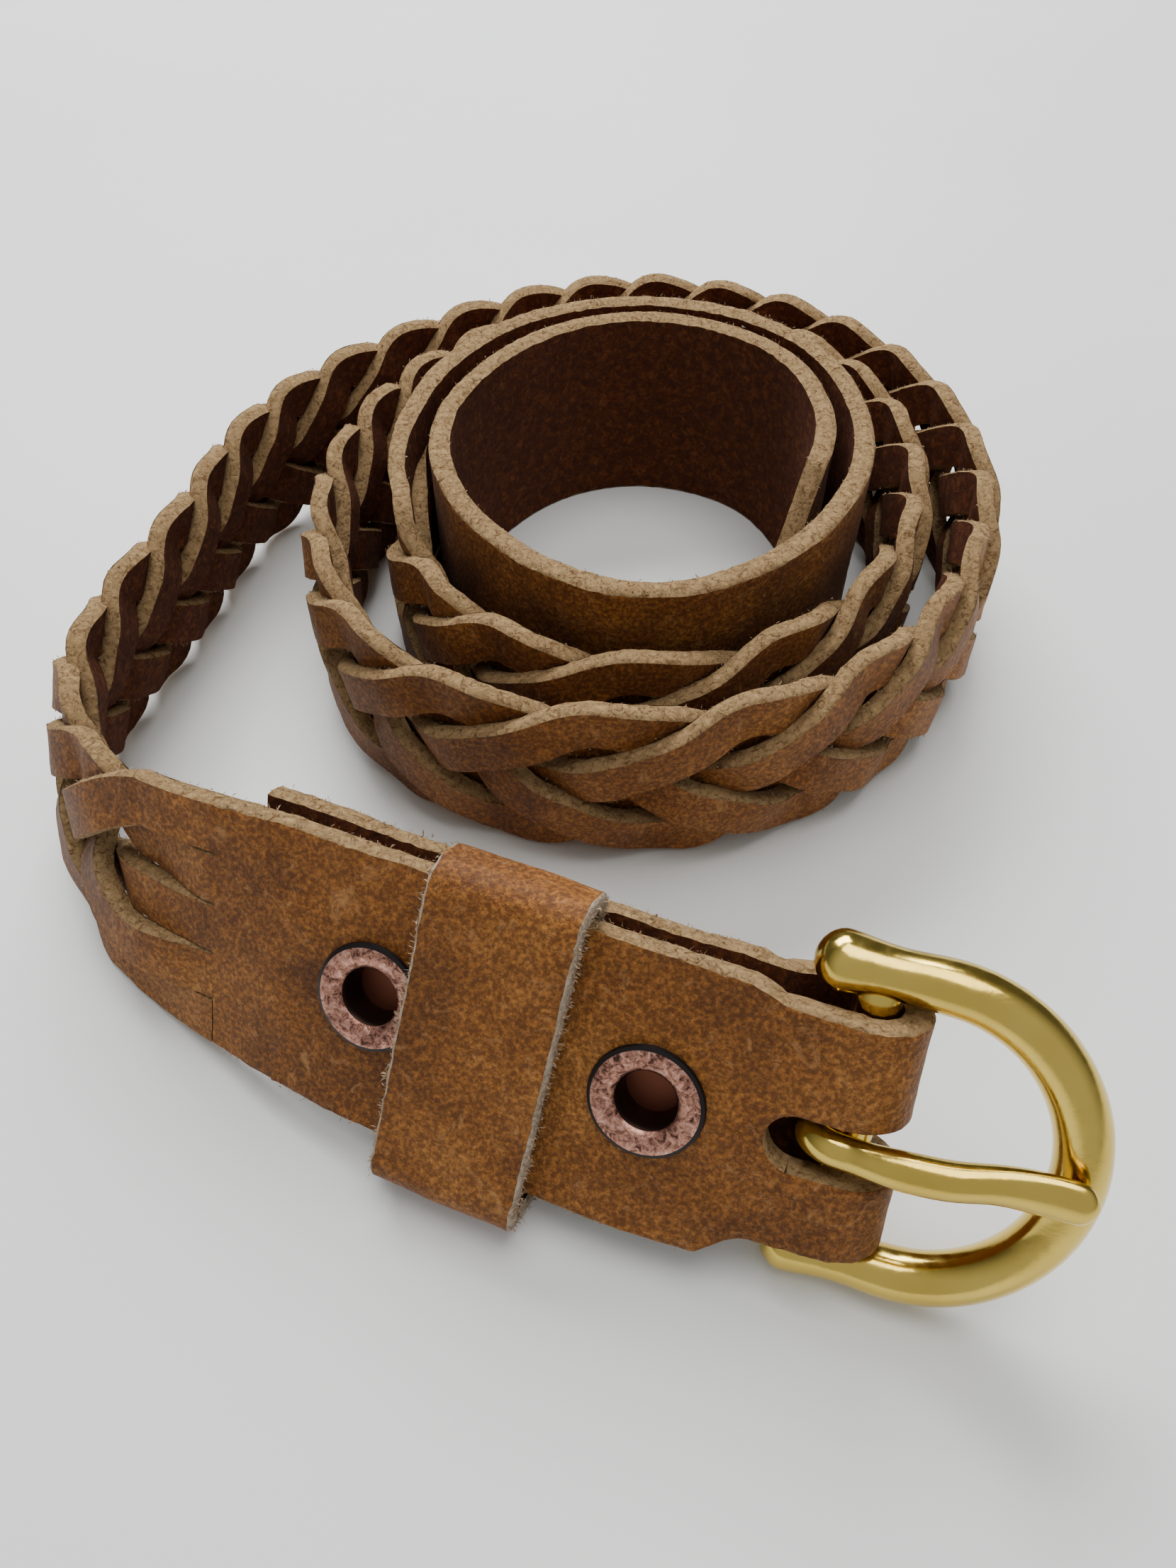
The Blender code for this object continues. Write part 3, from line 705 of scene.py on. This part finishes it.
def build_strand(k):
    """One strand of the braid; both its ends lie against the solid strap and stay open."""
    s = np.linspace(braid_from, braid_to, BRAID_ROWS)
    inside = np.minimum(s - braid_from, braid_to - s)
    u = braid_phase(s) + k / STRAND_COUNT
    opened = smooth(inside / BRAID_LEAD)
    loose = np.clip((inside - BRAID_LEAD) / BRAID_LOOSENS_OVER, 0.0, 1.0)
    flat = STRAND_COUNT / 2.0 * SLIT_WIDTH
    swing = flat + (BRAID_SWING - flat) * loose
    plain = plain_wave(u)
    across = swing * (plain + (triangle_wave(u) - plain) * loose)
    height = sum(a * np.sin(4.0 * math.pi * (m + 1) * u) for m, a in enumerate(BRAID_HEIGHTS))
    height = height * opened
    slope = np.gradient(across, s)
    point, forward, width, out = route.at(s)
    centre = point + width * across[:, None] + out * height[:, None]
    lead = unit(np.gradient(centre, axis=0))
    side = unit(width - forward * slope[:, None])
    side = unit(side - lead * np.sum(side * lead, axis=1, keepdims=True))
    normal = np.cross(lead, side)
    half = (SLIT_WIDTH + (STRAND_WIDTH - SLIT_WIDTH) * opened) / 2.0
    thick = STRAP_THICKNESS + (STRAND_THICKNESS - STRAP_THICKNESS) * opened
    strip = (centre, side, normal, -half, half, thick)
    name = f"braid_strand_{k + 1}"
    keep(ribbon(name, strip, leather, 6, caps=False), "belt", f"strand_{k + 1}")
    keep(edge_fuzz(name + "_fibres", strip, 5.0, 0.75, 50 + k), "belt")


def edges_near_bar(distance):
    """The buckle end's two edges this far from the bar: its corners narrow into the fold."""
    blend = smooth((15.0 - distance) / 6.0)
    return 3.95 * blend - HALF_WIDTH, HALF_WIDTH - 1.45 * blend


def bar_frame():
    """The buckle bar's middle, which lies under the strap, with the route's directions."""
    point, forward, width, out = route.frame_at(bar_s)
    return point - out * FOLD_RADIUS, forward, width, out


def build_buckle_end():
    """The strap from the braid round the bar and back, with its slot and snap holes."""
    front = np.linspace(braid_to, bar_s, 80)[:-1]
    flap = bar_s - np.arange(0.0, FLAP_LENGTH, FLAP_STEP)
    base = bar_frame()
    bar, forward, width, out = base
    centre_f, _, width_f, _ = route.at(front)
    centre_b, _, width_b, out_b = route.at(flap)
    distance = bar_s - flap
    step_in = smooth((distance - 7.5) / 6.5)
    fall = 2.0 * FOLD_RADIUS + (LAYER_STEP - 2.0 * FOLD_RADIUS) * step_in
    centre_b = centre_b - out_b * fall[:, None]
    turn = np.linspace(0.0, math.pi, FOLD_ROWS)[:, None]
    round_out = out * np.cos(turn) + forward * np.sin(turn)
    centre = np.concatenate([centre_f, bar + round_out * FOLD_RADIUS, centre_b[1:]])
    across = np.concatenate([width_f, np.repeat(width[None, :], FOLD_ROWS, axis=0), width_b[1:]])
    normal = np.cross(unit(np.gradient(centre, axis=0)), across)
    away = np.concatenate([bar_s - front, np.zeros(FOLD_ROWS), distance[1:]])
    low, high = edges_near_bar(away)
    back = np.concatenate([np.zeros(len(front) + FOLD_ROWS), distance[1:]])
    tapered = (back - FLAP_TAPERS_FROM) / (FLAP_LENGTH - FLAP_TAPERS_FROM)
    low = low + FLAP_TAPER * np.clip(tapered, 0.0, 1.0)
    strip = (centre, across, normal, low, high, STRAP_THICKNESS)
    piece = ribbon("strap_buckle_end", strip, leather, 21)
    outline = [(SLOT_OPEN_END, -SLOT_HALF_WIDTH), (SLOT_OPEN_END, SLOT_HALF_WIDTH)]
    for angle in np.linspace(0.5 * math.pi, 1.5 * math.pi, 17):
        x = SLOT_ROUND_END + SLOT_HALF_WIDTH * math.cos(angle)
        outline.append((x, SLOT_HALF_WIDTH * math.sin(angle)))
    cut_away(piece, outline, base, -SLOT_DEPTH, SLOT_DEPTH)
    turn = np.linspace(0.0, 2.0 * math.pi, 32, endpoint=False)
    ring = [(SNAP_HOLE_RADIUS * math.cos(t), SNAP_HOLE_RADIUS * math.sin(t)) for t in turn]
    for s in (snap_1, snap_2):
        cut_away(piece, ring, route.frame_at(s), -3.0, 3.4)
    keep(piece, "belt", "buckle_end_strap")
    near = np.flatnonzero(away < FIBRES_CLEAR_OF_BAR)
    for name, rows in (("front", slice(0, near[0])), ("flap", slice(near[-1] + 1, None))):
        clear = (centre[rows], across[rows], normal[rows], low[rows], high[rows])
        hair = edge_fuzz(f"strap_{name}_fibres", (*clear, STRAP_THICKNESS), 8.0, 0.95, 22)
        keep(hair, "belt")


def build_keeper():
    """The band round both layers of the strap: a rectangle with rounded corners."""
    point, forward, width, out = route.frame_at(snap_1 + KEEPER_FROM_SNAP)
    top, low = KEEPER_TOP - KEEPER_CORNER, KEEPER_LOW + KEEPER_CORNER
    front, back = KEEPER_FRONT - KEEPER_CORNER, KEEPER_BACK + KEEPER_CORNER
    centres = ((top, back, -90.0), (top, front, 0.0), (low, front, 90.0), (low, back, 180.0))
    coarse = []
    for cy, cz, first in centres:
        for angle in np.radians(np.linspace(first, first + 90.0, 7)):
            y, z = math.cos(angle), math.sin(angle)
            coarse.append((cy + KEEPER_CORNER * y, cz + KEEPER_CORNER * z, y, z))
    coarse = np.array(coarse)
    fine = []
    for i, row in enumerate(coarse):
        ahead = coarse[(i + 1) % len(coarse)]
        steps = max(1, int(np.linalg.norm(ahead[:2] - row[:2])))
        for step in range(steps):
            t = step / steps
            fine.append(row * (1 - t) + ahead * t)
    fine = np.array(fine)
    normals = unit(fine[:, 2:])
    centre = point + width * fine[:, :1] + out * fine[:, 1:2]
    normal = width * normals[:, :1] + out * normals[:, 1:]
    across = np.repeat(forward[None, :], len(centre), axis=0)
    size = (-KEEPER_HALF_LENGTH, KEEPER_HALF_LENGTH, KEEPER_THICKNESS)
    piece = ribbon("keeper_band", (centre, -across, normal, *size), keeper_leather, 13, True)
    keep(piece, "keeper", "keeper_loop")
    hair = edge_fuzz("keeper_fibres", (centre, across, normal, *size), 14.0, 1.1, 23)
    keep(hair, "keeper")


build_tip()
for strand in range(STRAND_COUNT):
    build_strand(strand)
build_buckle_end()
build_keeper()


# ---- the metal ----


def build_buckle():
    """The ring, open where it meets the bar, and the bar inside the fold."""
    bar, forward, width, out = bar_frame()
    side = list(RING_LEG)
    for degrees in range(90, -10, -10):
        turn = math.radians(degrees)
        x = RING_ARC_FROM + RING_ARC_REACH * math.cos(turn)
        side.append((x, RING_HALF_SPAN * math.sin(turn), RING_RADIUS))
    knots = side + [(x, -y, r) for x, y, r in reversed(side[:-1])]
    line = through([(x, y, 0.0, r) for x, y, r in knots], 220)
    radius = line[:, 3]
    ring = bar + forward * line[:, :1] + width * (line[:, 1:2] + BAR_ASIDE)
    run = np.linspace(-BAR_HALF_LENGTH, BAR_HALF_LENGTH, 12)[:, None]
    rod = bar + width * (run + BAR_ASIDE)
    for name, path, size, node in (
        ("brass_frame", ring, radius, "buckle_frame"),
        ("brass_bar", rod, BAR_RADIUS, None),
    ):
        up = np.repeat(out[None, :], len(path), axis=0)
        keep(sweep(name, path, up, size, size, [brass]), "buckle", node)


def build_tongue():
    """The tongue, curled round the bar and resting on the ring."""
    bar, forward, width, out = bar_frame()
    knots = []
    for degrees in range(-60, -290, -24):
        angle = math.radians(degrees)
        x, z = CURL_RADIUS * math.cos(angle), CURL_RADIUS * math.sin(angle)
        knots.append((x, 0.0, z, *CURL_SIZE))
    line = through(knots + list(TONGUE_BLADE), 160)
    path = bar + forward * line[:, :1] + width * line[:, 1:2] + out * line[:, 2:3]
    across = np.repeat(width[None, :], len(path), axis=0)
    piece = sweep("brass_tongue", path, across, line[:, 3], line[:, 4], [brass])
    keep(piece, "tongue", "buckle_tongue")


def build_snap(number, s):
    """One snap: a speckled ring with a black rim and a bore painted near black as shade, over
    its CAD pieces.
    """
    shine, rim, shaded_bore = 0, 1, 2
    face = STRAP_THICKNESS / 2.0
    # The bore rows take the painted shade colour, not the ring's metal.
    profile = (
        (3.6, -face - 0.2, shaded_bore),
        (4.0, -face - 0.1, shaded_bore),
        (4.0, face + 0.1, rim),
        (7.0, face + 0.1, rim),
        (7.45, face + 0.5, rim),
        (7.3, face + 0.95, rim),
        (6.85, face + 1.15, shine),
        (6.3, face + 1.3, shine),
        (5.3, face + 1.25, shine),
        (4.5, face + 0.95, shine),
        (4.0, face + 0.5, shaded_bore),
        (3.65, face - 0.3, shaded_bore),
    )
    looks = [copper, black_rim, shaded_bore_look]
    piece = lathe(f"snap_ring_{number}", profile, route.frame_at(s), looks)
    keep(piece, "belt", f"snap_eyelet_{number}")
    for kind, look in (("stud", hole_bottom), ("socket", copper), ("cap", copper)):
        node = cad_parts[f"snap_{kind}_{number}"]
        node.data.materials.clear()
        node.data.materials.append(look)


build_buckle()
build_tongue()
build_snap(1, snap_1)
build_snap(2, snap_2)


# ---- the room ----


def build_floor():
    """A large, pale table top."""
    points = [(-2500, -1500, 0), (2500, -1500, 0), (2500, 3500, 0), (-2500, 3500, 0)]
    look = Look("table_top", 0.45, 0.0, 0.4)
    cloud = look.noise(6.0, 4.0)
    look.colour(look.ramp(cloud, 0.3, 0.7, ((0.80, 0.81, 0.79), (0.84, 0.85, 0.83))))
    make_object("table_top", points, [(0, 1, 2, 3)], [look.made])


def add_light(name, place, size, energy, colour):
    """A rectangular light, in metres, turned towards the belt."""
    data = bpy.data.lights.new(name, "AREA")
    data.shape = "RECTANGLE"
    data.size, data.size_y = size
    data.energy = energy
    data.color = colour
    obj = bpy.data.objects.new(name, data)
    bpy.context.scene.collection.objects.link(obj)
    obj.location = place
    obj.rotation_euler = (-Vector(place)).to_track_quat("-Z", "Y").to_euler()


def build_world():
    """Soft light all round, brightest from above on the camera's side."""
    world = bpy.data.worlds.new("room")
    bpy.context.scene.world = world
    world.use_nodes = True
    nodes, links = world.node_tree.nodes, world.node_tree.links
    where = nodes.new("ShaderNodeTexCoord").outputs["Generated"]
    tilt = nodes.new("ShaderNodeMapping")
    tilt.inputs["Rotation"].default_value = (math.radians(-50.0), 0.0, 0.0)
    links.new(where, tilt.inputs["Vector"])
    split = nodes.new("ShaderNodeSeparateXYZ")
    links.new(tilt.outputs["Vector"], split.inputs["Vector"])
    shade = nodes.new("ShaderNodeValToRGB")
    dim, bright = shade.color_ramp.elements
    dim.position = 0.05
    dim.color = (0.20, 0.20, 0.20, 1.0)
    bright.position = 0.75
    bright.color = (0.95, 0.97, 1.0, 1.0)
    links.new(split.outputs["Z"], shade.inputs["Fac"])
    links.new(shade.outputs["Color"], nodes["Background"].inputs["Color"])
    nodes["Background"].inputs["Strength"].default_value = 0.6


def build_camera():
    """The camera: in front of the belt, looking down at it, in metres."""
    data = bpy.data.cameras.new("camera")
    data.lens = 27.03
    data.sensor_width = 36.0
    data.clip_start = 0.01
    camera = bpy.data.objects.new("camera", data)
    bpy.context.scene.collection.objects.link(camera)
    camera.location = (0.005987, -0.138300, 0.157)
    camera.rotation_euler = (math.radians(38.5), 0.0, 0.0)
    bpy.context.scene.camera = camera


build_floor()
add_light("window", (-0.15, 0.75, 0.75), (0.8, 0.5), 17.0, (0.97, 0.985, 1.0))
add_light("ceiling", (0.1, 0.1, 1.1), (0.7, 0.7), 7.0, (1.0, 0.985, 0.96))
build_world()
build_camera()
